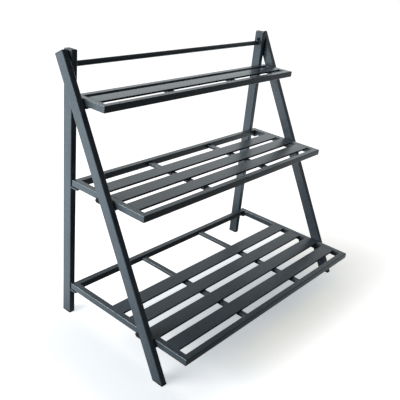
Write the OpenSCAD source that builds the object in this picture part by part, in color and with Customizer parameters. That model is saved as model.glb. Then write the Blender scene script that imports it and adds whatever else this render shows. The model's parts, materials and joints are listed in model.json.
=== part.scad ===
// Ladder plant stand. Two upright rear legs and a round cross bar make the rear frame.
// Two slanted front legs turn on bolts near the top of the rear legs. Three slatted
// shelves lift off the rubber pads and boots of the brackets that carry them.
// X runs along the shelves, +Y to the rear, +Z up. The origin is on the floor, under the
// middle of the whole stand.

/* [Overall] */
// Length of each shelf, which is also the width over the rear legs
shelf_length = 900; // [600:10:1200]
// Height of the rear legs with cap and foot
stand_height = 845; // [800:5:1000]

/* [Legs] */
// Width of the leg tube, along X
leg_width = 20; // [18:1:30]
// Depth of the leg tube, front to rear
leg_depth = 35; // [32:1:45]
// Wall of the leg tube
leg_wall = 1.2; // [0.8:0.1:2]
// Outer corner radius of the leg tube
leg_corner = 2.5; // [1.5:0.1:4]
// Gap between a rear leg and the slanted leg beside it
leg_gap = 3; // [2.5:0.1:5]
// Slant of the front legs from upright, in degrees
leg_tilt = 28.3; // [24:0.1:31]
// Distance of the leg bolts below the top of the rear legs
pivot_drop = 28; // [25:1:36]
// Length of the slanted legs above the leg bolts, with cap
slant_top = 24; // [22:1:36]

/* [Shelf heights and depths] */
// Height of the lower shelf's top
lower_top = 116; // [100:1:160]
// Height of the middle shelf's top
middle_top = 472; // [420:1:520]
// Height of the upper shelf's top
upper_top = 726; // [660:1:740]
// Depth of the lower shelf
lower_depth = 493; // [460:1:520]
// Depth of the middle shelf
middle_depth = 300; // [280:1:330]
// Depth of the upper shelf
upper_depth = 130; // [118:1:145]
// Gap between the shelves and the rear legs
rear_gap = 7; // [4:0.5:12]

/* [Shelf frame] */
// Side of the square rail tube
rail_size = 20; // [18:0.5:24]
// Wall of the rail tube
rail_wall = 1.2; // [0.8:0.1:2]
// Outer corner radius of the rail tube
rail_corner = 2; // [1.5:0.1:4]
// Width of the flat tubes under the slats
support_width = 20; // [12:1:30]
// Thickness of the flat tubes under the slats
support_thick = 10; // [6:0.5:11]
// Wall of the flat tubes under the slats
support_wall = 1.2; // [0.8:0.1:2]
// Corner radius of the flat tubes under the slats
support_corner = 2; // [1:0.1:3]

/* [Slats] */
// Width of a slat
slat_width = 50; // [40:1:52]
// Thickness of a slat
slat_thick = 6; // [4:0.5:7]
// Wall of a slat's flat tube
slat_wall = 1; // [0.6:0.1:1.4]
// Edge radius of a slat
slat_corner = 2; // [1:0.1:2]
// Slats on the lower shelf
lower_slats = 4; // [1:1:5]
// Slats on the middle shelf
middle_slats = 3; // [1:1:3]
// Slats on the upper shelf
upper_slats = 1; // [1:1:1]
// Gap between slats on the lower shelf
lower_slat_gap = 25; // [15:1:28]
// Gap between slats on the middle shelf
middle_slat_gap = 19; // [12:1:26]
// Gap in front of the slat on the upper shelf
upper_slat_gap = 22; // [12:1:26]

/* [Cross bar] */
// Diameter of the cross bar between the rear legs
bar_diameter = 16; // [12:0.5:18]
// Wall of the cross bar
bar_wall = 1.2; // [0.8:0.1:2]
// Distance of the bar's axis below the leg bolts
bar_drop = 15.5; // [15:0.5:24]
// Distance of the bar's axis behind the middle of the rear legs
bar_back = 5; // [2:0.5:8]

/* [Leg bolts] */
// Diameter of the leg bolt's shank
bolt_diameter = 8; // [6:0.5:9]
// Diameter of the leg bolt's button head
head_diameter = 14; // [12:0.5:15]
// Height of the leg bolt's button head
head_height = 4.4; // [3:0.1:5.5]
// Height of the straight rim of the bolt's head
head_rim = 1; // [0.5:0.1:1.5]
// Width across the flats of the head's hexagon socket
socket_width = 5; // [4:0.5:6]
// Outer diameter of the sleeve that the bolt turns in
sleeve_diameter = 12; // [11:0.5:14]
// Outer diameter of the nut welded inside a slanted leg
nut_diameter = 13; // [11:0.5:16]
// Length of the nut welded inside a slanted leg
nut_length = 10; // [6:0.5:13]
// Outer diameter of the plastic washer between two legs
washer_diameter = 24; // [18:1:30]

/* [Brackets] */
// Thickness of the bracket plates on the rear legs
ledge_thick = 4; // [3:0.5:5]
// Reach of the lower and middle bracket plates in front of the rear legs
ledge_reach = 28; // [26:1:34]
// Reach of the upper bracket plates in front of the rear legs
upper_ledge_reach = 60; // [54:1:74]
// Thickness of the rest plates on the slanted legs
rest_thick = 4; // [3:0.5:5]
// Width of the rest plates, from the slanted leg inwards
rest_width = 21; // [17:1:22]
// Reach of the rest plates behind the slanted legs
rest_reach = 51; // [48:1:54]
// Set-back of the rest plates from the front of the slanted legs
rest_setback = 8; // [2:1:16]
// Corner radius at the rear end of the rest plates
rest_corner = 3; // [1:0.5:5]

/* [Rubber pads on the rear brackets] */
// Width of a pad
pad_width = 18; // [14:0.5:19]
// Height of a pad, between bracket and rail
pad_height = 3.2; // [2.5:0.1:5]
// Overhang of a pad in front of its bracket
pad_overhang = 6; // [2:0.5:8]
// Corner radius of a pad
pad_corner = 4; // [2:0.5:5]
// Distance of a pad's rear stem from the leg
stem_setback = 8.5; // [7:0.5:10]
// Distance of a pad's front stem from the front edge of its bracket
stem_inset = 6.5; // [5:0.5:8]
// Diameter of a pad's stems, in the bracket's holes
stem_diameter = 5; // [4:0.5:6]
// Diameter of the barbs that hold the stems
barb_diameter = 8; // [7:0.5:9]
// Height of the barbs
barb_height = 2.6; // [2:0.1:4]
// Diameter of the nib that enters the rail
nib_diameter = 5; // [4:0.5:6]
// Height of the nib above its pad
nib_height = 3; // [2:0.5:5]

/* [Rubber boots on the rest plates] */
// Length of a boot
boot_length = 40; // [30:1:42]
// Rubber of a boot over its plate
boot_top = 3.2; // [2.5:0.1:5]
// Rubber of a boot under its plate
boot_bottom = 2.6; // [1.5:0.1:4]
// Rubber of a boot beside its plate
boot_side = 1.4; // [1:0.1:2]
// Length of bare plate behind a boot
boot_setback = 6.5; // [4:0.5:8]
// Height of a side buffer above the bottom of the rail
buffer_height = 4.5; // [3:0.5:6]

/* [Caps and feet] */
// Thickness of the caps on top of the legs
cap_thick = 5; // [2:0.5:8]
// Thickness of the feet under the legs
foot_thick = 4; // [2:0.5:8]
// Depth of the plugs inside the tubes
plug_depth = 16; // [10:1:19]
// Wall of the plugs
plug_wall = 1.6; // [1:0.1:2.5]
// Edge radius of the caps
cap_edge = 4; // [0.5:0.1:6]

/* [Clearances] */
// Gap between a shelf rail and the rubber under or beside it
seat_gap = 0.3; // [0.2:0.05:0.5]
// Radial clearance of the leg bolt in its sleeve
bolt_play = 0.05; // [0.02:0.01:0.1]
// Side play of the bolt head and the washer
side_play = 0.3; // [0.2:0.05:0.5]
// Gap between a plug and its tube
plug_play = 0.1; // [0:0.05:0.3]
// Radial clearance of a nib in its rail
nib_play = 0.6; // [0.3:0.1:1]

/* [Hidden] */
$fn = 48;

// Levels: 0 is the lower shelf, 1 the middle one and 2 the upper one
shelf_top = [lower_top, middle_top, upper_top];
shelf_depth = [lower_depth, middle_depth, upper_depth];
slat_gap = [lower_slat_gap, middle_slat_gap, upper_slat_gap];
ledge_length = [ledge_reach, ledge_reach, upper_ledge_reach];

// Places along X
half_length = shelf_length / 2;
slant_inner_x = half_length + leg_gap;
slant_middle_x = slant_inner_x + leg_width / 2;
rail_middle_x = half_length - rail_size / 2;
ledge_middle_x = half_length - leg_width / 2;
support_x = shelf_length / 6;

// Places along Y, with the whole stand centred on the origin
cap_round = min(cap_edge, cap_thick - 0.5);
front_reach = leg_depth / 2 + rear_gap + lower_depth;
rear_reach = max(leg_depth / 2, cap_round + (slant_top - cap_round) * sin(leg_tilt)
    + (leg_depth / 2 - cap_round) * cos(leg_tilt));
leg_y = (front_reach - rear_reach) / 2;
leg_front_y = leg_y - leg_depth / 2;
shelf_rear_y = leg_front_y - rear_gap;

// Places along Z
pivot_z = stand_height - pivot_drop;
rear_plug_depth = min(plug_depth, pivot_drop - cap_thick - sleeve_diameter / 2 - 1);
slant_plug_depth = min(plug_depth, slant_top - cap_thick - nut_diameter / 2 - 1);
cut_margin = 1;

function shelf_front(level) = shelf_rear_y - shelf_depth[level];
function rail_bottom(level) = shelf_top[level] - rail_size;
function ledge_top(level) = rail_bottom(level) - seat_gap - pad_height;
function nib_y(level) = leg_front_y - ledge_length[level] + stem_inset;
function rest_top(level) = rail_bottom(level) - seat_gap - boot_top;
function slant_middle_y(z) = leg_y - (pivot_z - z) * tan(leg_tilt);
function slant_rear_y(z) = slant_middle_y(z) + leg_depth / 2 / cos(leg_tilt);
function slant_front_y(z) = slant_middle_y(z) - leg_depth / 2 / cos(leg_tilt);
function rest_end_y(level) = slant_rear_y(rest_top(level)) + rest_reach;

// Rectangle with round corners, centred
module rounded_rect(w, h, r) {
    square([w - 2 * r, h], center = true);
    square([w, h - 2 * r], center = true);
    for (sx = [-1, 1], sy = [-1, 1])
        translate([sx * (w / 2 - r), sy * (h / 2 - r)]) circle(r);
}

// Section of a rectangular tube
module tube_section(w, h, wall, r) {
    difference() {
        rounded_rect(w, h, r);
        rounded_rect(w - 2 * wall, h - 2 * wall, max(r - wall, 0.3));
    }
}

// Extrudes a section drawn in Y and Z along X, centred
module along_x(length) {
    translate([-length / 2, 0, 0]) rotate([90, 0, 90]) linear_extrude(length) children();
}

// Extrudes a section drawn in X and Z along Y, from y = 0 to the rear
module along_y(length) {
    translate([0, length, 0]) rotate([90, 0, 0]) linear_extrude(length) children();
}

// Puts a piece on the left side as drawn, or mirrors it to the right side
module on_side(side) {
    if (side == "left") children();
    else mirror([1, 0, 0]) children();
}

// Frame of a slanted leg: z along the leg from its bolt, y square to its front face
module slant_frame() {
    translate([-slant_middle_x, leg_y, pivot_z]) rotate([-leg_tilt, 0, 0]) children();
}

// Puts a shape on the slice of space between two heights
module between_heights(z0, z1) {
    intersection() {
        children();
        translate([-2 * shelf_length, -2 * stand_height, z0])
            cube([4 * shelf_length, 4 * stand_height, z1 - z0]);
    }
}

// ---- Rear frame ----

// Upright leg tube with the two holes that hold its sleeve
module rear_leg() {
    color("#2b2f33")
    difference() {
        translate([-ledge_middle_x, leg_y, foot_thick])
            linear_extrude(stand_height - cap_thick - foot_thick)
                tube_section(leg_width, leg_depth, leg_wall, leg_corner);
        translate([-ledge_middle_x, leg_y, pivot_z]) rotate([0, 90, 0])
            cylinder(d = sleeve_diameter, h = leg_width + 2 * cut_margin, center = true);
    }
}

// Hollow plug body inside a leg tube, from z = 0 down
module plug_body(depth) {
    w = leg_width - 2 * leg_wall - 2 * plug_play;
    d = leg_depth - 2 * leg_wall - 2 * plug_play;
    translate([0, 0, -depth]) linear_extrude(depth)
        tube_section(w, d, plug_wall, max(leg_corner - leg_wall, 0.5));
}

// Outline of a cap seen from a side: square below, round shoulders above
module cap_side(w) {
    translate([-w / 2, 0]) square([w, cap_thick - cap_round]);
    translate([-w / 2 + cap_round, 0]) square([w - 2 * cap_round, cap_thick]);
    for (s = [-1, 1])
        translate([s * (w / 2 - cap_round), cap_thick - cap_round]) circle(cap_round);
}

// Cap on the end of a leg tube, with its plug, standing on z = 0
module leg_cap(depth) {
    color("#4a4e52") {
        intersection() {
            linear_extrude(cap_thick) rounded_rect(leg_width, leg_depth, leg_corner);
            along_x(leg_width + 2 * cut_margin) cap_side(leg_depth);
            translate([0, -leg_depth, 0]) along_y(2 * leg_depth) cap_side(leg_width);
        }
        plug_body(depth);
    }
}

module rear_caps() {
    for (side = [-1, 1]) translate([side * ledge_middle_x, leg_y, stand_height - cap_thick])
        leg_cap(rear_plug_depth);
}

// Feet under the upright legs, with their plugs
module rear_feet() {
    color("#17181a")
    for (side = [-1, 1]) translate([side * ledge_middle_x, leg_y, 0]) {
        linear_extrude(foot_thick) rounded_rect(leg_width, leg_depth, leg_corner);
        translate([0, 0, foot_thick + plug_depth]) plug_body(plug_depth);
    }
}

// Round tube between the rear legs
module cross_bar() {
    color("#2b2f33")
    translate([0, leg_y + bar_back, pivot_z - bar_drop])
        along_x(shelf_length - 2 * leg_width) difference() {
            circle(d = bar_diameter);
            circle(d = bar_diameter - 2 * bar_wall);
        }
}

// Steel sleeves, one through each rear leg, that the leg bolts turn in
module pivot_sleeves() {
    color("#8d9296")
    for (side = [-1, 1])
        translate([side * ledge_middle_x, leg_y, pivot_z]) along_x(leg_width) difference() {
            circle(d = sleeve_diameter);
            circle(d = bolt_diameter + 2 * bolt_play);
        }
}

// Bracket plate welded to the front of a rear leg, with two holes for the stems of its pad
module ledge(level) {
    length = ledge_length[level];
    bottom = ledge_top(level) - ledge_thick;
    color("#2b2f33")
    difference() {
        translate([-half_length, leg_front_y - length, bottom])
            cube([leg_width, length, ledge_thick]);
        for (y = [leg_front_y - stem_setback, nib_y(level)])
            translate([-rail_middle_x, y, bottom - cut_margin])
                cylinder(d = stem_diameter, h = ledge_thick + 2 * cut_margin);
    }
}

// Push-in stem of a pad, from the pad's underside down: neck through the bracket and barb
module stem() {
    rotate_extrude() {
        translate([0, -ledge_thick]) square([stem_diameter / 2, ledge_thick + pad_height / 2]);
        translate([0, -ledge_thick - barb_height]) polygon([[0, 0],
            [barb_diameter / 2 - 1, 0], [barb_diameter / 2, barb_height - 1],
            [barb_diameter / 2, barb_height], [0, barb_height]]);
    }
}

// Rubber pad on a rear bracket: two stems hold it, and its nib enters the rail above
module pad(level) {
    length = ledge_length[level] + pad_overhang;
    color("#141516") translate([-rail_middle_x, 0, ledge_top(level)]) {
        translate([0, leg_front_y - length / 2, 0])
            linear_extrude(pad_height) rounded_rect(pad_width, length, pad_corner);
        translate([0, leg_front_y - stem_setback, 0]) stem();
        translate([0, nib_y(level), 0]) {
            stem();
            cylinder(d = nib_diameter, h = pad_height + nib_height);
        }
    }
}

// The six pads
module ledge_pads() {
    for (side = ["left", "right"], level = [0 : 2]) on_side(side) pad(level);
}

// ---- Slanted front legs ----

// Endless bar along a slanted leg, with the section that is drawn by the child
module slant_bar(down, up) {
    slant_frame() translate([0, 0, -down]) linear_extrude(down + up) children();
}

slant_down = pivot_z / cos(leg_tilt) + leg_depth;

// Slanted leg tube: cut square at the top and level with the floor at the bottom
module slanted_leg() {
    color("#2b2f33")
    difference() {
        between_heights(foot_thick, 2 * stand_height)
            slant_bar(slant_down, slant_top - cap_thick)
                tube_section(leg_width, leg_depth, leg_wall, leg_corner);
        translate([-slant_inner_x - leg_wall - cut_margin, leg_y, pivot_z]) rotate([0, 90, 0])
            cylinder(d = bolt_diameter, h = leg_wall + 2 * cut_margin);
    }
}

module slanted_cap() {
    slant_frame() translate([0, 0, slant_top - cap_thick]) leg_cap(slant_plug_depth);
}

// Foot of a slanted leg: a level sole with a plug that follows the tube
module slanted_foot() {
    w = leg_width - 2 * leg_wall - 2 * plug_play;
    d = leg_depth - 2 * leg_wall - 2 * plug_play;
    color("#17181a") {
        between_heights(0, foot_thick)
            slant_bar(slant_down, 0) rounded_rect(leg_width, leg_depth, leg_corner);
        between_heights(foot_thick, foot_thick + plug_depth)
            slant_bar(slant_down, 0)
                tube_section(w, d, plug_wall, max(leg_corner - leg_wall, 0.5));
    }
}

// Button-head bolt: head on the inner face of the rear leg, shank out into the weld nut
module leg_bolt() {
    shank = leg_width + leg_gap + leg_wall + nut_length;
    dome = head_height - head_rim;
    dome_radius = (pow(head_diameter / 2, 2) + pow(dome, 2)) / (2 * dome);
    color("#5c6166")
    translate([-half_length + leg_width, leg_y, pivot_z]) rotate([0, -90, 0]) difference() {
        union() {
            translate([0, 0, -side_play - head_rim])
                cylinder(d = bolt_diameter, h = shank + side_play + head_rim);
            rotate_extrude() translate([0, -side_play - head_height]) intersection() {
                translate([0, dome_radius]) circle(dome_radius, $fn = 160);
                square([head_diameter / 2, head_height]);
            }
        }
        translate([0, 0, -side_play - head_height - cut_margin])
            cylinder(d = socket_width / cos(30), h = head_height * 0.6 + cut_margin, $fn = 6);
    }
}

// Plastic washer that keeps the two legs apart
module leg_washer() {
    color("#141516")
    translate([-slant_inner_x + (leg_gap - side_play) / 2, leg_y, pivot_z])
        along_x(leg_gap - side_play) difference() {
            circle(d = washer_diameter);
            circle(d = bolt_diameter);
        }
}

// Nut welded to the inside of the slanted leg's inner wall
module weld_nut() {
    color("#8d9296")
    translate([-slant_inner_x - leg_wall - nut_length / 2, leg_y, pivot_z])
        along_x(nut_length) difference() {
            circle(d = nut_diameter);
            circle(d = bolt_diameter);
        }
}

// Rest plate welded to the inner face of a slanted leg, with a narrower tail for its boot
module rest(level) {
    rear = rest_end_y(level);
    front = slant_front_y(rest_top(level)) + rest_setback;
    tail = boot_setback + boot_length;
    color("#2b2f33")
    translate([-slant_inner_x, 0, rest_top(level) - rest_thick]) linear_extrude(rest_thick) {
        translate([0, front]) square([rest_width, rear - tail - front]);
        translate([rest_width / 2, rear - tail / 2 - rest_corner])
            rounded_rect(rest_width - 2 * boot_side, tail + 2 * rest_corner, rest_corner);
    }
}

// Rubber boots pushed over the tails of the rest plates of one slanted leg
module rest_boots() {
    color("#141516")
    for (level = [0, 1])
        translate([-slant_inner_x, rest_end_y(level) - boot_setback - boot_length,
            rest_top(level) - rest_thick])
            along_y(boot_length) difference() {
                translate([0, -boot_bottom])
                    square([rest_width, boot_bottom + rest_thick + boot_top]);
                translate([boot_side, 0]) square([rest_width - 2 * boot_side, rest_thick]);
            }
}

// Rubber strips that stand on the boots, beside the rails, and keep the shelves centred
module side_buffers() {
    color("#141516")
    for (level = [0, 1])
        translate([-slant_inner_x, rest_end_y(level) - boot_setback - boot_length,
            rest_top(level) + boot_top])
            cube([leg_gap - seat_gap, boot_length, seat_gap + buffer_height]);
}

// ---- Shelves ----

// Hole for a pad's nib, in the bottom walls of the left rail and the corner beside it
module nib_hole(level) {
    translate([-rail_middle_x, nib_y(level), rail_bottom(level) - cut_margin])
        cylinder(d = nib_diameter + 2 * nib_play, h = rail_wall + 2 * cut_margin);
}

// Front or rear rail of a shelf, mitred at both ends
module long_rail(level, at_front) {
    y = at_front ? shelf_front(level) : shelf_rear_y;
    inner = at_front ? rail_size : -rail_size;
    color("#3a3e42")
    difference() {
        intersection() {
            translate([0, y + inner / 2, shelf_top[level] - rail_size / 2])
                along_x(shelf_length)
                    tube_section(rail_size, rail_size, rail_wall, rail_corner);
            translate([0, y, rail_bottom(level) - cut_margin])
                linear_extrude(rail_size + 2 * cut_margin)
                    polygon([[-half_length, 0], [half_length, 0],
                        [half_length - rail_size, inner], [-half_length + rail_size, inner]]);
        }
        if (!at_front) for (side = ["left", "right"]) on_side(side) nib_hole(level);
    }
}

// Left rail of a shelf, mitred at both ends
module side_rail(level) {
    front = shelf_front(level);
    color("#3a3e42")
    difference() {
        intersection() {
            translate([-rail_middle_x, front, shelf_top[level] - rail_size / 2])
                along_y(shelf_depth[level])
                    tube_section(rail_size, rail_size, rail_wall, rail_corner);
            translate([-half_length, 0, rail_bottom(level) - cut_margin])
                linear_extrude(rail_size + 2 * cut_margin)
                    polygon([[0, front], [0, shelf_rear_y],
                        [rail_size, shelf_rear_y - rail_size], [rail_size, front + rail_size]]);
        }
        nib_hole(level);
    }
}

// Flat tube under the slats, from the front rail to the rear rail
module support(level) {
    color("#33373a")
    translate([-support_x, shelf_front(level) + rail_size,
        shelf_top[level] - slat_thick - support_thick / 2])
        along_y(shelf_depth[level] - 2 * rail_size)
            tube_section(support_width, support_thick, support_wall, support_corner);
}

// Slat number from the front, a flat tube between the side rails
module slat(level, number) {
    pitch = slat_width + slat_gap[level];
    y = shelf_front(level) + rail_size + number * pitch - slat_width / 2;
    color("#3a3e42")
    translate([0, y, shelf_top[level] - slat_thick / 2]) along_x(shelf_length - 2 * rail_size)
        tube_section(slat_width, slat_thick, slat_wall, slat_corner);
}

on_side("left") rear_leg();  // rear_left_leg
on_side("right") rear_leg();  // rear_right_leg
cross_bar();
rear_caps();
rear_feet();
pivot_sleeves();
on_side("left") ledge(0);  // lower_left_ledge
on_side("right") ledge(0);  // lower_right_ledge
on_side("left") ledge(1);  // middle_left_ledge
on_side("right") ledge(1);  // middle_right_ledge
on_side("left") ledge(2);  // upper_left_ledge
on_side("right") ledge(2);  // upper_right_ledge
ledge_pads();

on_side("left") slanted_leg();  // left_slanted_leg
on_side("left") slanted_cap();  // left_slanted_cap
on_side("left") slanted_foot();  // left_slanted_foot
on_side("left") leg_bolt();  // left_leg_bolt
on_side("left") leg_washer();  // left_leg_washer
on_side("left") weld_nut();  // left_weld_nut
on_side("left") rest(0);  // left_lower_rest
on_side("left") rest(1);  // left_middle_rest
on_side("left") rest_boots();  // left_rest_boots
on_side("left") side_buffers();  // left_side_buffers
on_side("right") slanted_leg();  // right_slanted_leg
on_side("right") slanted_cap();  // right_slanted_cap
on_side("right") slanted_foot();  // right_slanted_foot
on_side("right") leg_bolt();  // right_leg_bolt
on_side("right") leg_washer();  // right_leg_washer
on_side("right") weld_nut();  // right_weld_nut
on_side("right") rest(0);  // right_lower_rest
on_side("right") rest(1);  // right_middle_rest
on_side("right") rest_boots();  // right_rest_boots
on_side("right") side_buffers();  // right_side_buffers

long_rail(0, true);  // lower_front_rail
long_rail(0, false);  // lower_rear_rail
on_side("left") side_rail(0);  // lower_left_rail
on_side("right") side_rail(0);  // lower_right_rail
on_side("left") support(0);  // lower_left_support
on_side("right") support(0);  // lower_right_support
slat(0, 1);  // lower_slat_1
slat(0, 2);  // lower_slat_2
slat(0, 3);  // lower_slat_3
slat(0, 4);  // lower_slat_4
long_rail(1, true);  // middle_front_rail
long_rail(1, false);  // middle_rear_rail
on_side("left") side_rail(1);  // middle_left_rail
on_side("right") side_rail(1);  // middle_right_rail
on_side("left") support(1);  // middle_left_support
on_side("right") support(1);  // middle_right_support
slat(1, 1);  // middle_slat_1
slat(1, 2);  // middle_slat_2
slat(1, 3);  // middle_slat_3
long_rail(2, true);  // upper_front_rail
long_rail(2, false);  // upper_rear_rail
on_side("left") side_rail(2);  // upper_left_rail
on_side("right") side_rail(2);  // upper_right_rail
on_side("left") support(2);  // upper_left_support
on_side("right") support(2);  // upper_right_support
slat(2, 1);  // upper_slat_1
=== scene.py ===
# %% [markdown]
# # A ladder plant stand in powder-coated steel
# The packed model of the stand is the fixed frame of this scene. Its tubes already have their
# real sections, so they stay, and get finishes here. What is added is what a welder and a
# finisher leave behind: the weld beads and the rolled edges of the rubber parts. The finishes
# are written in metres, as Blender is, and the added pieces in millimetres, as a workshop is.

# %% Load the frame
import json

import bmesh
import bpy
import numpy as np
from mathutils import Matrix, Vector


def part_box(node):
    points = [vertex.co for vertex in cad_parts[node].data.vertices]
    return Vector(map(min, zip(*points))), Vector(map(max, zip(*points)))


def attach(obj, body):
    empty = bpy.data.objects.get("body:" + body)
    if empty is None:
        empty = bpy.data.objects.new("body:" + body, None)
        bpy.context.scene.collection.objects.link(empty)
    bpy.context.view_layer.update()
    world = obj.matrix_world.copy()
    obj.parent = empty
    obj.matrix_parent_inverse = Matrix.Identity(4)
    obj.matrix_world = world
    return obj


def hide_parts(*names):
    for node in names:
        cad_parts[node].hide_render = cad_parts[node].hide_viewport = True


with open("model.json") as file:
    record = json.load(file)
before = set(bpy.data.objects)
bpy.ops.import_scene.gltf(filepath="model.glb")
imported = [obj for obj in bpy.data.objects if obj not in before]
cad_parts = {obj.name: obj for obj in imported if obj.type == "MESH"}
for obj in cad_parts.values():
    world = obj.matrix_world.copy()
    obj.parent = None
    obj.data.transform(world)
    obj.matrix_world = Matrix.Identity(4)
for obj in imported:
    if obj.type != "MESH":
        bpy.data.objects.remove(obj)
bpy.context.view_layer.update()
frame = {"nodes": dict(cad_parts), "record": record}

SLATS = {"lower": 4, "middle": 3, "upper": 1}  # how many slats each shelf has
SIDES = {"left": -1, "right": 1}  # the sign of x on each side
RAIL = 20  # side of the shelves' square rails, mm

# %% [markdown]
# ## Camera
# The stand is seen from its left front corner and from above, and the view leans a little to
# one side. The lens and the place were worked out from the straight edges of the tubes, so
# that the edges meet in the right vanishing points. The camera is built from its three axes,
# which is easier to read than turned Euler angles.

# %% Camera
eye = (-1.44432, -1.04824, 1.17097)
yaw, pitch, roll = np.radians([-51.535, -24.610, 6.218])
forward = np.array([-np.sin(yaw) * np.cos(pitch), np.cos(yaw) * np.cos(pitch), np.sin(pitch)])
flat_right = np.array([np.cos(yaw), np.sin(yaw), 0])
flat_up = np.cross(flat_right, forward)
right = np.cos(roll) * flat_right + np.sin(roll) * flat_up
up = np.cos(roll) * flat_up - np.sin(roll) * flat_right

camera_data = bpy.data.cameras.new("camera")
camera_data.sensor_width = 36  # mm
camera_data.lens = 53.141  # mm
camera_data.clip_end = 60  # m
camera = bpy.data.objects.new("camera", camera_data)
bpy.context.scene.collection.objects.link(camera)
turn = Matrix(np.column_stack([right, up, -forward]).tolist())
camera.matrix_world = Matrix.Translation(eye) @ turn.to_4x4()
bpy.context.scene.camera = camera
bpy.context.scene.view_settings.view_transform = "Standard"
print("camera looks along", forward.round(3))

# %% [markdown]
# ## Shader maths as Python
# A procedural finish is a sum and product of patterns. Writing it as nodes is long, so one
# small class wraps a socket: an expression on wrapped sockets adds the Math nodes by itself.

# %% Wrapped sockets
class Value:
    """A socket that carries a number. Arithmetic on it adds Math nodes."""

    def __init__(self, sheet, socket):
        self.sheet, self.socket = sheet, socket

    def maths(self, operation, *others):
        node = self.sheet.add("ShaderNodeMath", {"operation": operation},
                              dict(enumerate((self, *others))))
        return Value(self.sheet, node.outputs[0])

    def __add__(self, other):
        return self.maths("ADD", other)

    def __radd__(self, other):
        return self.maths("ADD", other)

    def __sub__(self, other):
        return self.maths("SUBTRACT", other)

    def __rsub__(self, other):
        return (self * -1).maths("ADD", other)

    def __mul__(self, other):
        return self.maths("MULTIPLY", other)

    def __rmul__(self, other):
        return self.maths("MULTIPLY", other)

    def __neg__(self):
        return self * -1

    def __abs__(self):
        return self.maths("ABSOLUTE")

    def either(self, other):
        """The larger of two masks."""
        return self.maths("MAXIMUM", other)

    def rise(self, start, end):
        """0 up to start, 1 from end on, with a soft step between."""
        node = self.sheet.add("ShaderNodeMapRange", {"interpolation_type": "SMOOTHSTEP"},
                              {"Value": self, "From Min": start, "From Max": end})
        return Value(self.sheet, node.outputs[0])

    def fall(self, start, end):
        """1 up to start, 0 from end on, with a soft step between."""
        return 1 - self.rise(start, end)


print("a Value knows", [name for name in vars(Value) if not name.startswith("_")])

# %% The sheet that the nodes lie on
class Sheet:
    """The node tree of one material, or of the world that is given as its owner."""

    def __init__(self, name, owner=None, output="ShaderNodeOutputMaterial"):
        self.owner = owner or bpy.data.materials.new(name)
        self.owner.use_nodes = True
        self.tree = self.owner.node_tree
        self.tree.nodes.clear()
        self.output = self.add(output)
        self.place = self.add("ShaderNodeTexCoord").outputs["Object"]

    def add(self, kind, settings=None, values=None):
        """Adds a node of a type: its settings first, then the values or links of its sockets."""
        node = self.tree.nodes.new(kind)
        for name, value in (settings or {}).items():
            setattr(node, name, value)
        for key, value in (values or {}).items():
            value = value.socket if isinstance(value, Value) else value
            if isinstance(value, bpy.types.NodeSocket):
                self.tree.links.new(value, node.inputs[key])
            else:
                node.inputs[key].default_value = value
        return node

    def axes(self, vector):
        """The x, y and z of a vector, as three numbers."""
        parts = self.add("ShaderNodeSeparateXYZ", None, {0: vector})
        return [Value(self, parts.outputs[k]) for k in "XYZ"]

    def noise(self, size, detail=2, rough=0.5, stretch=(1, 1, 1), shift=0):
        """Smooth noise from 0 to 1 whose lumps are about size metres across."""
        spot = self.add("ShaderNodeMapping", None,
                        {"Vector": self.place, "Scale": stretch, "Location": (shift,) * 3})
        node = self.add("ShaderNodeTexNoise", None,
                        {"Vector": spot.outputs[0], "Scale": 0.5 / size, "Detail": detail,
                         "Roughness": rough})
        return Value(self, node.outputs[0])

    def blend(self, factor, first, second):
        """A colour between two colours."""
        node = self.add("ShaderNodeMix", {"data_type": "RGBA"},
                        {"Factor": factor, "A": first, "B": second})
        return node.outputs["Result"]

    def bump(self, height, depth):
        """A bumpy normal: the height runs from 0 to 1 and depth is in metres."""
        return self.add("ShaderNodeBump", None, {"Height": height, "Distance": depth}).outputs[0]

    def surface(self, **sockets):
        """The finished surface. Names are the shader's sockets, with _ for a space."""
        shader = self.add("ShaderNodeBsdfPrincipled", None,
                          {name.replace("_", " "): value for name, value in sockets.items()})
        return self.finish(shader)

    def finish(self, shader):
        """Joins a shader to the output and gives the material or world back."""
        self.tree.links.new(shader.outputs[0], self.output.inputs["Surface"])
        return self.owner


print("a Sheet knows", [name for name in vars(Sheet) if not name.startswith("_")])

# %% [markdown]
# ## Powder coat
# Anthracite powder is sprayed dry and baked. It flows into a skin with a fine grain on a soft
# orange peel and a satin sheen, a little glossier along the edges of the tubes, where the colour
# is painted lighter as wear of a thin skin and as a painted highlight. The narrow front sides of
# the slats are painted dark as painted shade, and made dull and rough.
# A paint this dark owes most of its looks to what it mirrors. One glossy shader could do, but
# two layers come closer: a clear coat that is nearly smooth lies over a rougher base.

# %% Lighter and darker tones
def tone(colour, factor=1):
    """A colour made lighter or darker, with the opacity that a colour socket asks for."""
    return tuple(c * factor for c in colour) + (1,)


print("half of white is", tone((1, 1, 1), 0.5))

# %% Powder coat
CLOUD, WEAR_AND_HIGHLIGHT, SCUFF, PEEL, GRAIN = 0.07, 0.02, 0.012, 0.004, 0.0009  # lumps of each pattern, m
SKIN = 0.00006  # height of the peel and grain, m
SATIN, CLEAR = 0.28, 0.6  # roughness of the base, weight of the clear coat
LEG_BLUR, SHELF_BLUR = 0.18, 0.27  # roughness of the clear coat


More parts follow.
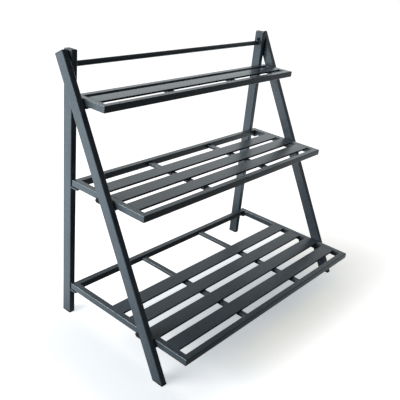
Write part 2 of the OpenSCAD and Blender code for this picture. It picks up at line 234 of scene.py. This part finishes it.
def powder_coat(name, colour, edges=None, seams=None, painted_slat_shade=None, blur=LEG_BLUR):
    """Colour with faint clouds, painted lighter on an edge, as wear of a thin skin and as a
    painted highlight, and darker in a seam; the height is fine grain on orange peel, less a
    groove along each seam. The narrow front sides of the slats get painted shade: nearly black,
    dull and rough."""
    s = Sheet(name)
    clouds = s.noise(CLOUD, 3)
    grain = s.noise(GRAIN, 2)
    peel = s.noise(PEEL, 1, shift=3.1)
    scuffs = s.noise(SCUFF, 4, 0.6, stretch=(1, 4, 4), shift=7.7).rise(0.60, 0.78)
    mottle = (clouds * 0.45 + peel * 0.35 + grain * 0.20).rise(0.36, 0.64)
    base = s.blend(mottle, tone(colour, 0.84), tone(colour, 1.18))
    rough = SATIN + grain * 0.08 + scuffs * 0.06
    height = grain * 0.5 + peel * 0.5
    clear = CLEAR
    if edges:
        edge = edges(s) * s.noise(WEAR_AND_HIGHLIGHT, 2, shift=1.7).rise(0.25, 0.75)
        # Edges painted lighter: wear of a thin skin and a painted highlight.
        base = s.blend(edge * 0.5, base, tone(colour, 2.1))
        rough = rough - edge * 0.08
    if seams:
        seam = seams(s)
        base = s.blend(seam * 0.75, base, tone(colour, 0.35))
        height = height - seam * 1.5
    if painted_slat_shade:
        slat_shade = painted_slat_shade(s)
        # Painted shade: the slats' front sides are painted nearly black.
        base = s.blend(slat_shade * 0.9, base, tone(colour, 0.12))
        rough = rough + slat_shade * 0.6
        clear = CLEAR - slat_shade * CLEAR
    return s.surface(Base_Color=base, Roughness=rough, Coat_Weight=clear, Coat_Roughness=blur,
                     Normal=s.bump(height, SKIN))


print("powder coat: grain of", GRAIN * 1000, "mm on a peel of", PEEL * 1000, "mm")

# %% [markdown]
# ## Edges and seams of the legs
# Worn edges could be painted by hand, or found from how sharply a mesh bends. Here the edges
# are painted lighter, as wear and as a painted highlight. The tubes are exact, so it is simpler
# to say where their faces lie: a point is on an edge where it is near a side face and near a
# front or rear face at once. A slanted leg is turned about its bolt, so its points are turned
# back before they are compared.

# %% Where the legs are
leg_low, leg_high = (np.array(c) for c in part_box("rear_left_leg"))
bolt_low, bolt_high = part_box("left_leg_bolt")
leg_y = float(leg_low[1] + leg_high[1]) / 2
pivot_z = float(bolt_low[2] + bolt_high[2]) / 2
upright_x = [float(-leg_low[0]), float(-leg_high[0])]
slant_x = [-corner[0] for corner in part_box("left_slanted_leg")]
upright_ends = [float(leg_low[2]), float(leg_high[2])]
TILT = float(np.radians(28.3))
HALF_DEPTH = 0.0175  # half the depth of a leg, front to rear, m
CAP_SEAM, FOOT_SEAM = 0.019, 0.004  # cap above the bolt, foot above the floor, m
print("legs at y", round(leg_y, 4), "bolts at z", round(pivot_z, 4))

# %% Edges and seams of the legs
WORN_AND_HIGHLIT, SEAM = 0.0035, 0.0005  # reach of a leg's edge of wear and painted highlight, and of a seam, m


def near(value, places, reach):
    """1 where the value is within reach of one of the places and 0 away from them all, as
    the largest of one soft step per place."""
    total = None
    for place in places:
        step = abs(value - place).fall(reach * 0.3, reach)
        total = step if total is None else total.either(step)
    return total


# Leg edges that the coat paints lighter: wear and a painted highlight.
def upright_edges(s):
    x, y, z = s.axes(s.place)
    return near(abs(x), upright_x, WORN_AND_HIGHLIT) * near(y, [leg_y - HALF_DEPTH, leg_y + HALF_DEPTH], WORN_AND_HIGHLIT)


def upright_seams(s):
    x, y, z = s.axes(s.place)
    return near(z, upright_ends, SEAM)


def slant_axes(s):
    """Across the slanted leg's depth and along its length from the bolt: the turned y and z,
    between the x and the z that were there before the turn."""
    x, y, z = s.axes(s.place)
    c, k = np.cos(TILT), np.sin(TILT)
    back, rise = y - leg_y, z - pivot_z
    return x, back * c - rise * k, back * k + rise * c, z


def slant_edges(s):
    x, across, along, z = slant_axes(s)
    return near(abs(x), slant_x, WORN_AND_HIGHLIT) * near(across, [-HALF_DEPTH, HALF_DEPTH], WORN_AND_HIGHLIT)


def slant_seams(s):
    x, across, along, z = slant_axes(s)
    return near(along, [CAP_SEAM], SEAM).either(near(z, [FOOT_SEAM], SEAM))


print("worn edges reach", WORN_AND_HIGHLIT * 1000, "mm")

# %% [markdown]
# ## Edges, mitres and slat sides of a shelf
# The four rails of a shelf are cut at 45 degrees, welded and ground flush, which leaves a
# fine line on each corner. A plane through each corner marks that line. The slats lie in
# the same coat, so one set of masks covers the whole shelf and only the rails' corners show
# a mitre.

# %% Masks of a shelf
RAIL_WORN_AND_HIGHLIT, MITRE = 0.003, 0.0006  # reach of a rail's edge of wear and painted highlight, and of a mitre line, m
SIDE_DEPTH = 0.003  # reach of the painted shade on a slat's front side, m
BLEND = 0.0002  # half the width of the step from rail to slat, m


def shelf_masks(level):
    """Three masks. Edges, painted lighter for wear and a painted highlight: near the top or
    bottom face and near an upright face of a rail. Mitres: near the diagonal planes through the
    four corners, on the rails only. Painted shade: the front sides of the slats, below their top
    faces."""
    front_low, front_high = (np.array(c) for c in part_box(f"{level}_front_rail"))
    rear_low, rear_high = (np.array(c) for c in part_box(f"{level}_rear_rail"))
    half = float(front_high[0])
    inner = half - RAIL / 1000
    bottom, top = float(front_low[2]), float(front_high[2])
    rows = [float(v) for v in (front_low[1], front_high[1], rear_low[1], rear_high[1])]
    slat_fronts = [float(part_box(f"{level}_slat_{i + 1}")[0][1]) for i in range(SLATS[level])]

    def edges(s):
        x, y, z = s.axes(s.place)
        upright = near(abs(x), [half, inner], RAIL_WORN_AND_HIGHLIT).either(near(y, rows, RAIL_WORN_AND_HIGHLIT))
        return near(z, [bottom, top], RAIL_WORN_AND_HIGHLIT) * upright

    def mitres(s):
        x, y, z = s.axes(s.place)
        out = abs(x) - inner
        front = near(out + y - rows[1], [0], MITRE)
        rear = near(out - y + rows[2], [0], MITRE)
        return front.either(rear) * out.rise(-BLEND, BLEND)

    def painted_slat_shade(s):
        x, y, z = s.axes(s.place)
        below_top = z.fall(top - 0.0008, top + 0.0004)
        between_rails = abs(x).fall(inner - 0.001, inner)
        return near(y, slat_fronts, SIDE_DEPTH) * below_top * between_rails

    return edges, mitres, painted_slat_shade


print("masks for", list(SLATS))

# %% The coats
LEG, SHELF = (0.057, 0.077, 0.095), (0.053, 0.070, 0.086)
coats = {
    "leg_coat": powder_coat("leg_coat", LEG),
    "upright": powder_coat("leg_coat_upright", LEG, upright_edges, upright_seams),
    "slanted": powder_coat("leg_coat_slanted", LEG, slant_edges, slant_seams),
    "shelf_coat": powder_coat("shelf_coat", SHELF),
}
for level in SLATS:
    coats[level] = powder_coat(f"shelf_coat_{level}", SHELF, *shelf_masks(level),
                               blur=SHELF_BLUR)
print(len(coats), "powder coats")

# %% [markdown]
# ## Plastic, rubber and steel
# Caps, feet and washers are moulded from plastic in a spark-eroded tool, which leaves an even
# matt grain. The pads and boots are soft black rubber with a dusty bloom, which is noise that
# turns the black a little grey. The bolts are black oxide steel, turned on a lathe, so their
# marks run round the bolt: waves of the distance from its axis say so with no texture image.
# The sleeves and nuts are zinc plated, and the zinc's spangles are the cells of a Voronoi
# pattern.

# %% Plastic and rubber
DUST = (0.16, 0.155, 0.15, 1)


def moulded(name, colour, rough, grain_size, depth, shine, dust=0.0):
    """Colour with slow clouds, an even grain for roughness and height, and grey dust in
    patches."""
    s = Sheet(name)
    clouds = s.noise(0.03, 2)
    grain = s.noise(grain_size, 1)
    base = s.blend(clouds, tone(colour, 0.85), tone(colour, 1.15))
    if dust:
        patches = s.noise(0.006, 4, 0.65, shift=2.3).rise(0.45, 0.75)
        base = s.blend(patches * dust, base, DUST)
    return s.surface(Base_Color=base, Roughness=rough + (grain - 0.5) * 0.14,
                     Specular_IOR_Level=shine, Normal=s.bump(grain, depth))


print("moulded finish ready, dust", DUST[:3])

# %% Black oxide steel and zinc plate
RINGS = 9000  # waves of the lathe's marks, radians per metre
SPANGLES = 420  # zinc cells per metre
FINE = 0.00001  # height of the marks and spangles, m
BLUE_ZINC, YELLOW_ZINC = (0.50, 0.53, 0.58, 1), (0.60, 0.58, 0.50, 1)


def turned_steel(name, colour, rough):
    """Rings round the bolt's axis: waves of the distance from the axis, broken by noise."""
    s = Sheet(name)
    x, y, z = s.axes(s.place)
    out = ((y - leg_y) * (y - leg_y) + (z - pivot_z) * (z - pivot_z)).maths("POWER", 0.5)
    rings = (out * RINGS + s.noise(0.004, 2) * 2).maths("SINE") * 0.5 + 0.5
    worn = s.noise(0.0018, 3, 0.6, shift=4.4).rise(0.55, 0.8)
    base = s.blend(worn * 0.4, tone(colour), tone(colour, 2.2))
    return s.surface(Base_Color=base, Metallic=0.85, Roughness=rough + rings * 0.06 - worn * 0.1,
                     Normal=s.bump(rings, FINE))


def zinc(name):
    """Bright zinc in small spangles with a faint yellow and blue tint."""
    s = Sheet(name)
    cells = s.add("ShaderNodeTexVoronoi", None, {"Vector": s.place, "Scale": SPANGLES})
    shade = Value(s, cells.outputs["Distance"])
    tint = s.blend(s.noise(0.006, 2).rise(0.35, 0.65), BLUE_ZINC, YELLOW_ZINC)
    return s.surface(Base_Color=tint, Metallic=1.0, Roughness=0.34 + shade * 0.12,
                     Normal=s.bump(shade, FINE))


finishes = {
    "leg_coat": coats["leg_coat"],
    "shelf_coat": coats["shelf_coat"],
    "cap_plastic": moulded("cap_plastic", (0.060, 0.072, 0.081), 0.40, 0.0010, 0.00002, 0.5),
    "foot_plastic": moulded("foot_plastic", (0.021, 0.022, 0.023), 0.50, 0.0010, 0.00003, 0.3),
    "pad_rubber": moulded("pad_rubber", (0.013, 0.013, 0.014), 0.66, 0.0008, 0.00003, 0.14, 0.06),
    "bolt_steel": turned_steel("bolt_steel", (0.035, 0.035, 0.038), 0.42),
    "zinc_steel": zinc("zinc_steel"),
}
print(list(finishes))

# %% [markdown]
# ## Dressing the frame
# Every tube, cap and bolt of the frame is right as it is, so it only changes its material.
# The slot in the record names the finish, and legs and shelves take the coat that knows their
# own edges.

# %% Give every part of the frame its finish
def finish_of(node, slot):
    """The finish of one part: legs and shelves have their own coat, with their edges."""
    if node in ("rear_left_leg", "rear_right_leg"):
        return coats["upright"]
    if node in ("left_slanted_leg", "right_slanted_leg"):
        return coats["slanted"]
    if slot == "shelf_coat":
        return coats[node.split("_")[0]]
    return finishes[slot]


for part in frame["record"]["subparts"]:
    node = frame["nodes"][part["node"]]
    node.data.materials.clear()
    node.data.materials.append(finish_of(part["node"], part["material_slot"]))
print(len(frame["nodes"]), "nodes of the frame have a finish")

# %% [markdown]
# ## Surfaces as grids
# Every added piece is a sheet of points that is bent in space: one parameter runs along it and
# the other runs round it. Numpy works out all points at once, and the rows of the grid are
# then joined by four-sided faces.

# %% From a grid of points to a piece
MERGE = 2e-6  # points closer than this are one, m


def grid_faces(rows, columns, start):
    """Faces of a grid that closes round its columns; row after row, four corners each."""
    row_start = np.arange(rows - 1)[:, None] * columns
    column = np.arange(columns)[None, :]
    a, b = row_start + column, row_start + (column + 1) % columns
    return np.stack([a, b, b + columns, a + columns], -1).reshape(-1, 4) + start


def piece(name, grids, body, slot, stands_for=()):
    """Joins grids of points in mm into one object that rides on a body of the frame."""
    points, faces, start = [], [], 0
    for grid in grids:
        rows, columns = grid.shape[:2]
        points.append(grid.reshape(-1, 3))
        faces.append(grid_faces(rows, columns, start))
        start += rows * columns
    points, faces = np.concatenate(points) / 1000, np.concatenate(faces)
    mesh = bpy.data.meshes.new(name)
    mesh.from_pydata(points.tolist(), [], faces.tolist())
    merged = bmesh.new()
    merged.from_mesh(mesh)
    bmesh.ops.remove_doubles(merged, verts=merged.verts, dist=MERGE)
    bmesh.ops.recalc_face_normals(merged, faces=merged.faces)
    merged.to_mesh(mesh)
    merged.free()
    mesh.shade_smooth()
    mesh.materials.append(finishes[slot])
    obj = bpy.data.objects.new(name, mesh)
    bpy.context.scene.collection.objects.link(obj)
    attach(obj, body)
    if stands_for:
        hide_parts(*stands_for)
    print(name, len(mesh.polygons), "faces")


def span(node):
    """The lowest and the highest corner of a node of the frame, in mm."""
    low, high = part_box(node)
    return np.array(low) * 1000, np.array(high) * 1000


print("a grid of 3 rows and 4 columns has", len(grid_faces(3, 4, 0)), "faces")

# %% [markdown]
# ## Weld beads
# The tubes are joined with small fillet welds that were left as they came from the torch. A
# bead is a string of overlapping puddles, so its surface is a tube whose radius swells once
# per puddle and closes at both ends. Half of it lies inside the metal that it joins.

# %% Beads, straight and round
BEAD, SMALL_BEAD, CORNER_BEAD, RING_BEAD = 1.5, 1.2, 1.3, 1.6  # radii, mm
PUDDLE = 2.2  # length of one puddle, mm
SWELL, LEAN = 0.13, 0.6  # how far a puddle bulges, and how it leans (1 is upright)
STEP = 0.55  # about the distance between the rings of a bead, mm
ROUND = np.linspace(0, 2 * np.pi, 10, endpoint=False)  # angles round a bead


def swell(puddles):
    """How much thicker a bead is at a place, which is given in puddles from its start: half
    a sine wave per puddle that leans forward, as the puddles of a weld do."""
    return 1 + SWELL * np.sin(np.pi * (puddles % 1) ** LEAN)


def bead(start, end, inset=0.0, radius=BEAD):
    """Tube from start to end, shortened by inset at both: the radius is a quarter circle at
    each end, times the swell of the puddles."""
    start, end = np.array(start, float), np.array(end, float)
    along = (end - start) / np.linalg.norm(end - start)
    start, end = start + inset * along, end - inset * along
    length = np.linalg.norm(end - start)
    side = np.cross(along, [0.48, 0.36, 0.8])
    side /= np.linalg.norm(side)
    other = np.cross(along, side)
    s = np.linspace(0, length, max(8, int(length / STEP)))
    from_end = np.minimum(1, np.minimum(s, length - s) / (1.4 * radius))
    closed = np.sqrt(np.clip(1 - (1 - from_end) ** 2, 0, 1))
    r = (radius * closed * swell(s / PUDDLE))[:, None, None]
    ring = np.cos(ROUND)[None, :, None] * side + np.sin(ROUND)[None, :, None] * other
    return start + s[:, None, None] * along + r * ring


def bead_ring(centre, tube_radius):
    """A bead that closes round a tube which runs along X: its centre line is a circle of the
    tube's radius, and its own radius swells with the puddles."""
    round_length = 2 * np.pi * tube_radius
    s = np.linspace(0, 2 * np.pi, int(round_length / 0.6))
    puddles = round(round_length / PUDDLE)
    r = RING_BEAD * swell(s * puddles / (2 * np.pi))
    out = tube_radius + r[:, None] * np.cos(ROUND)[None, :]
    return np.stack([centre[0] + r[:, None] * np.sin(ROUND)[None, :],
                     centre[1] + out * np.cos(s)[:, None],
                     centre[2] + out * np.sin(s)[:, None]], -1)


print("a bead of 20 mm has", len(bead((0, 0, 0), (20, 0, 0))), "rings")

# %% Beads of the three shelves
def shelf_beads(level):
    """Beads in the rails' inner corners, along the slats' ends, across the supports under
    each slat's edges, and round the supports' ends."""
    front_low, front_high = span(f"{level}_front_rail")
    rear_low, _ = span(f"{level}_rear_rail")
    inner = front_high[0] - RAIL
    supports = [span(f"{level}_{side}_support") for side in SIDES]
    beads = []
    for x in (-inner, inner):
        for y in (front_high[1], rear_low[1]):
            beads.append(bead((x, y, front_low[2]), (x, y, front_high[2]),
                              inset=1.5, radius=CORNER_BEAD))
    for slat in range(1, SLATS[level] + 1):
        low, high = span(f"{level}_slat_{slat}")
        for x in (-inner, inner):
            beads.append(bead((x, low[1], low[2]), (x, high[1], low[2]), inset=2))
        for a, b in supports:
            for y in (low[1], high[1]):
                beads.append(bead((a[0], y, low[2]), (b[0], y, low[2]),
                                  inset=3, radius=SMALL_BEAD))
    for a, b in supports:
        for y in (a[1], b[1]):
            beads.append(bead((a[0], y, a[2]), (b[0], y, a[2]), inset=2))
            for x in (a[0], b[0]):
                beads.append(bead((x, y, a[2]), (x, y, b[2]), inset=1, radius=SMALL_BEAD))
    return beads


for level in SLATS:
    piece(f"{level}_shelf_welds", shelf_beads(level), f"{level}_shelf", "shelf_coat")

# %% Beads of the rear frame and of the rest plates
REST_REACH = 51  # how far a rest plate reaches behind its slanted leg, mm

bar_low, bar_high = span("cross_bar")
bar_centre = (bar_low + bar_high) / 2
beads = [bead_ring((x, bar_centre[1], bar_centre[2]), (bar_high[2] - bar_low[2]) / 2)
         for x in (bar_low[0], bar_high[0])]
for level in SLATS:
    for side in SIDES:
        low, high = span(f"{level}_{side}_ledge")
        beads.append(bead((low[0], high[1], low[2]), (high[0], high[1], low[2]), inset=1.5))
piece("rear_frame_welds", beads, "rear_frame", "leg_coat")

for side, sign in SIDES.items():
    face = sign * min(abs(corner[0]) for corner in span(f"{side}_slanted_leg"))
    beads = []
    for level in ("lower", "middle"):
        low, high = span(f"{side}_{level}_rest")
        weld_end = high[1] - REST_REACH
        for z in (low[2], high[2]):
            beads.append(bead((face, low[1], z), (face, weld_end, z),
                              inset=2, radius=SMALL_BEAD))
    piece(f"{side}_rest_welds", beads, f"{side}_front_leg", "leg_coat")

# %% [markdown]
# ## Rubber pads, boots and buffers
# The shelves rest on black moulded rubber. A mould leaves no sharp edge, so the plain solids
# of the frame are replaced by slabs with rolled edges, and the stems by turned profiles.

# %% Slabs and turned shapes
def outline(width, length, corner, count=14):
    """Points round a rectangle whose corners are quarter circles."""
    t = np.linspace(0, np.pi / 2, count)
    quarter = np.stack([np.cos(t), np.sin(t)], -1) * corner
    parts = []
    for quarter_turns in range(4):
        angle = quarter_turns * np.pi / 2
        c, s = np.cos(angle), np.sin(angle)
        centre = np.array([np.sign(c - s) * (width / 2 - corner),
                           np.sign(c + s) * (length / 2 - corner)])
        parts.append(centre + quarter @ np.array([[c, s], [-s, c]]))
    return np.concatenate(parts)


def slab(low, high, corner, edge):
    """Box with round corners in plan and a quarter-round edge above and below: the outline
    shrinks by edge times one minus the sine of a rolling angle while the height rises."""
    low, high = np.array(low, float), np.array(high, float)
    size = high - low
    middle = (low + high) / 2
    roll_angle = np.linspace(0, np.pi / 2, 6)
    inset = edge * (1 - np.sin(roll_angle))
    rise = edge * (1 - np.cos(roll_angle))
    insets = np.concatenate([[edge], inset, inset[::-1], [edge]])
    heights = np.concatenate([[0], rise, size[2] - rise[::-1], [size[2]]])
    shrink = np.concatenate([[0], np.ones(2 * len(inset)), [0]])
    rows = []
    for i, z, k in zip(insets, heights, shrink):
        rim = outline(size[0] - 2 * i, size[1] - 2 * i, max(corner - i, 0.2)) * k
        rows.append(np.column_stack([rim + middle[:2], np.full(len(rim), low[2] + z)]))
    return np.stack(rows)


def turned(centre, radii, heights, count=28):
    """A profile of radii and heights turned round an upright axis."""
    t = np.linspace(0, 2 * np.pi, count, endpoint=False)
    r, z = np.array(radii, float)[:, None], np.array(heights, float)[:, None]
    return np.stack([centre[0] + r * np.cos(t), centre[1] + r * np.sin(t),
                     centre[2] + z + 0 * t], -1)


print("a slab has", slab((0, 0, 0), (9, 9, 3), 1, 0.5).shape[0], "rows of points")

# %% The six pads on the rear brackets
PAD_HALF, PAD_HEIGHT, OVERHANG = 9, 3.2, 6  # half width, height, reach past the bracket, mm
REAR_STEM, FRONT_STEM = 8.5, 6.5  # from the leg and from the bracket's front edge, mm
PAD_CORNER, PAD_EDGE = 4, 0.9  # round corners in plan, and rolled edges, mm
# Profiles turned round an upright axis: radii, then heights from the bracket, mm.
STEM = ([0, 2.6, 3.0, 3.9, 4, 3.8, 2.5, 2.5, 0], [-2.6, -2.6, -2.4, -0.9, -0.5, 0, 0, 5, 5])
NIB = ([0, 2.5, 2.5, 2.3, 1.8, 0], [0, 0, 5.2, 5.8, 6.2, 6.2])

pads = []
for level in SLATS:
    for side in SIDES:
        low, high = span(f"{level}_{side}_ledge")
        middle = (low[0] + high[0]) / 2
        front = low[1] + FRONT_STEM
        pads.append(slab((middle - PAD_HALF, low[1] - OVERHANG, high[2]),
                         (middle + PAD_HALF, high[1], high[2] + PAD_HEIGHT),
                         PAD_CORNER, PAD_EDGE))
        for y in (high[1] - REAR_STEM, front):
            pads.append(turned((middle, y, low[2]), *STEM))
        pads.append(turned((middle, front, high[2]), *NIB))
piece("moulded_pads", pads, "rear_frame", "pad_rubber", ["ledge_pads"])

# %% A boot's sleeve
def sleeve(low, high, hole_low, hole_high, corner, edge):
    """Rectangular tube along Y with round lips: the section grows and shrinks along a loop
    that runs out, over the rear lip, back inside and over the front lip."""
    hole_corner = 0.4  # radius of the hole's corners, mm
    low, high = np.array(low, float), np.array(high, float)
    hole_low, hole_high = np.array(hole_low), np.array(hole_high)
    roll_angle = np.linspace(0, np.pi, 9)
    reach = high[1] - low[1]
    out = 0.5 + 0.5 * np.cos(roll_angle)
    y = np.concatenate([[edge], reach - edge + edge * np.sin(roll_angle),
                        edge - edge * np.sin(roll_angle)])
    mix = np.concatenate([[1], out, out[::-1]])
    outer_size, outer_mid = (high - low)[[0, 2]], ((high + low) / 2)[[0, 2]]
    inner_size, inner_mid = hole_high - hole_low, (hole_low + hole_high) / 2
    rows = []
    for k, place in zip(mix, y):
        size = inner_size + (outer_size - inner_size) * k
        mid = inner_mid + (outer_mid - inner_mid) * k
        rim = outline(*size, hole_corner + (corner - hole_corner) * k) + mid
        rows.append(np.column_stack([rim[:, 0], np.full(len(rim), low[1] + place), rim[:, 1]]))
    return np.stack(rows)


print("a sleeve has", len(sleeve((0, 0, 0), (9, 9, 9), (2, 2), (7, 7), 1, 0.5)), "rows of points")

# %% The boots and the side buffers on the rest plates
BOOT, SETBACK = 40, 6.5  # length of a boot and of the bare plate behind it, mm
UNDER, OVER, BESIDE = 2.6, 3.2, 1.4  # rubber round the plate, mm
BOOT_CORNER, LIP = 1.6, 0.7  # round corners and round lips of a boot, mm
BUFFER_FOOT, BUFFER_HEIGHT, BUFFER = 2.4, 4.8, 2.7  # over plate, over boot, thickness, mm
BUFFER_CORNER, BUFFER_EDGE = 0.9, 0.8  # round corners in plan, and rolled edges, mm

for side, sign in SIDES.items():
    boots, buffers = [], []
    for level in ("lower", "middle"):
        low, high = span(f"{side}_{level}_rest")
        rear = high[1] - SETBACK
        boots.append(sleeve((low[0], rear - BOOT, low[2] - UNDER),
                            (high[0], rear, high[2] + OVER),
                            (low[0] + BESIDE, low[2]), (high[0] - BESIDE, high[2]),
                            BOOT_CORNER, LIP))
        outer = low[0] if sign < 0 else high[0]
        a, b = sorted((outer, outer - sign * BUFFER))
        buffers.append(slab((a, rear - BOOT, high[2] + BUFFER_FOOT),
                            (b, rear, high[2] + OVER + BUFFER_HEIGHT),
                            BUFFER_CORNER, BUFFER_EDGE))
    piece(f"{side}_moulded_boots", boots, f"{side}_front_leg", "pad_rubber",
          [f"{side}_rest_boots"])
    piece(f"{side}_moulded_buffers", buffers, f"{side}_front_leg", "pad_rubber",
          [f"{side}_side_buffers"])

# %% [markdown]
# ## White floor
# The stand was shot on a white sweep, with a soft shade under its lowest shelf. A white floor
# could be had by more light, but that would bleach the stand too. So the floor glows by
# itself: white for the camera, a little less under the shelf, and on top of that a plain
# diffuse part that catches the real shadows. The paint mirrors the floor, so for mirror rays
# it glows by its own rule: bright towards the window at the rear right, dark under the shelf.
# Both rules are masks of the place on the floor, made of soft steps in metres.

# %% The shade that the camera sees
WHITE = (1, 1, 1, 1)
COOL_SHADE, WARM_SHADE = (0.88, 0.945, 1, 1), (0.985, 1, 0.95, 1)


def shaded(x, y):
    """1 in the shade under the lowest shelf, fading to 0 in front of it, behind it and to
    the right, and a weaker strip beside the stand's left end."""
    ahead, leftward = -y, -x
    past_left = leftward.fall(0.58, 0.85)
    under = (ahead.fall(0.27, 0.52) * y.fall(-0.02, 0.26)
             * x.fall(0.10, 1.14) * (1 - leftward.rise(0.10, 0.60) * 0.25))
    beside = past_left * ahead.fall(0.27, 0.52) * y.fall(0.10, 0.60) * x.fall(-0.50, -0.30)
    return (under * past_left).either(beside)


def camera_glow(s, x, y):
    """Strength and colour of the floor for the camera: white less the shade, which is
    deepest along the middle of the shelf, bluish at the left and warmer at the right."""
    shade = shaded(x, y)
    deep = abs(y + 0.15).fall(0.04, 0.16)
    depth = 0.48 + x.rise(-0.50, -0.25) * (deep * 0.10 - 0.03)
    warm = (x.rise(-0.40, -0.05) * (-y).rise(0.20, 0.30)).either(
        x.rise(0.25, 0.60) * y.fall(0.0, 0.25))
    colour = s.blend(warm, COOL_SHADE, WARM_SHADE)
    return 1 - shade * depth, s.blend(shade, WHITE, colour)


print("shade from", COOL_SHADE[:3], "to", WARM_SHADE[:3])

# %% What the paint mirrors of the floor
MIRRORED_FLOOR = (0.87, 0.97, 1, 1)


def mirror_glow(x, y):
    """Strength of the floor for mirror rays: brighter towards the window and in a patch far
    in front, and nearly dark under the stand."""
    to_window = (y * 2.4 + x).rise(-1.6, 1.5)
    to_front = (-y).rise(0.9, 1.6) * abs(x).fall(0.3, 0.8) * 0.45
    dark = ((-y).fall(0.20, 0.34) * (y - x.rise(-0.2, 0.2) * 0.15).fall(0.17, 0.40)
            * abs(x - 0.15).fall(0.55, 0.72))
    return (0.07 + to_window * 0.93 + to_front) * (1 - dark * 0.9)


print("mirrored floor", MIRRORED_FLOOR[:3])

# %% The floor
FLOOR_REACH = 12.0  # half the side of the floor, m


def ray(sheet, *kinds):
    """1 for the named kinds of rays, else 0."""
    path = sheet.add("ShaderNodeLightPath")
    total = Value(sheet, path.outputs[f"Is {kinds[0]} Ray"])
    for kind in kinds[1:]:
        total = total.either(path.outputs[f"Is {kind} Ray"])
    return total


def diffuse(sheet, grey):
    shader = sheet.add("ShaderNodeBsdfDiffuse", None, {"Color": (grey, grey, grey, 1)})
    return shader.outputs[0]


def floor_finish():
    """Glow plus a diffuse part: pale for the camera, so that it takes the real shadows, and
    dull for all other rays, so that it throws little light back at the stand."""
    s = Sheet("studio_floor")
    x, y, z = s.axes(s.place)
    camera_ray = ray(s, "Camera")
    strength, colour = camera_glow(s, x, y)
    glow = s.add("ShaderNodeEmission", None,
                 {"Color": s.blend(camera_ray, MIRRORED_FLOOR, colour),
                  "Strength": camera_ray * strength + (1 - camera_ray) * mirror_glow(x, y)})
    pale, dull = diffuse(s, 0.78), diffuse(s, 0.10)
    white = s.add("ShaderNodeMixShader", None, {0: camera_ray, 1: dull, 2: pale})
    both = s.add("ShaderNodeAddShader", None, {0: glow.outputs[0], 1: white.outputs[0]})
    return s.finish(s.add("ShaderNodeMixShader", None,
                          {0: ray(s, "Camera", "Glossy", "Transmission"), 1: dull,
                           2: both.outputs[0]}))


r = FLOOR_REACH
floor_mesh = bpy.data.meshes.new("studio_floor")
floor_mesh.from_pydata([(-r, -r, 0), (r, -r, 0), (r, r, 0), (-r, r, 0)], [], [(0, 1, 2, 3)])
floor_mesh.materials.append(floor_finish())
floor = bpy.data.objects.new("studio_floor", floor_mesh)
bpy.context.scene.collection.objects.link(floor)
print("floor of", 2 * r, "m a side")

# %% [markdown]
# ## The room
# The room is white to the camera. For mirror rays it is bright behind the stand and darker in
# front, as the satin faces show, with one bright panel high at the rear left that draws the
# thin light line along the rails' upper edges. For all other rays it is a weak even light
# from above. A world has no place, only a direction, so its masks are soft steps in the three
# parts of that direction.

# %% The room
MIRRORED_ROOM = (0.91, 0.975, 1, 1)

bpy.context.scene.world = bpy.data.worlds.new("studio")
w = Sheet("studio", bpy.context.scene.world, "ShaderNodeOutputWorld")
x, y, z = w.axes(w.add("ShaderNodeTexCoord").outputs["Generated"])
gloss = ray(w, "Glossy", "Transmission")
walls = 0.10 + y.rise(-0.7, 0.0) * 0.90
height = 1 - z.rise(0.27, 0.70) * 0.96 + z.rise(0.80, 1.0) * 0.40
front = (-y).rise(0.45, 0.85) * abs(x).fall(0.15, 0.40) * 0.50
panel = (x * -0.40 + y * 0.58 + z * 0.71).rise(0.92, 0.99) * 10
overhead = z.rise(0.3, 0.9) * 0.215
mirrored = walls * height + front + panel
strength = ray(w, "Camera").either(gloss * mirrored + (1 - gloss) * overhead)
w.finish(w.add("ShaderNodeBackground", None,
               {"Color": w.blend(gloss, WHITE, MIRRORED_ROOM), "Strength": strength}))
print("room:", len(w.tree.nodes), "nodes")

# %% [markdown]
# ## One soft lamp
# The left faces of the legs are the lightest, so a large soft lamp stands to the left. It is
# hidden from mirror rays, because a mirrored lamp would burn white patches into the paint.

# %% The lamp
lamp_place, lamp_target = Vector((-2.5, 1.0, 0.8)), Vector((-0.4, 0.1, 0.4))
lamp_data = bpy.data.lights.new("key", "AREA")
lamp_data.shape = "RECTANGLE"
lamp_data.size, lamp_data.size_y = 1.8, 1.4  # m
lamp_data.energy = 92  # W
lamp = bpy.data.objects.new("key", lamp_data)
bpy.context.scene.collection.objects.link(lamp)
aim = (lamp_target - lamp_place).to_track_quat("-Z", "Y")
lamp.visible_glossy = False
lamp.matrix_world = Matrix.Translation(lamp_place) @ aim.to_matrix().to_4x4()
print("lamp", round((lamp_target - lamp_place).length, 2), "m from the stand")

# %% [markdown]
# ## Sizes
# The dressed stand has to keep the frame's size.
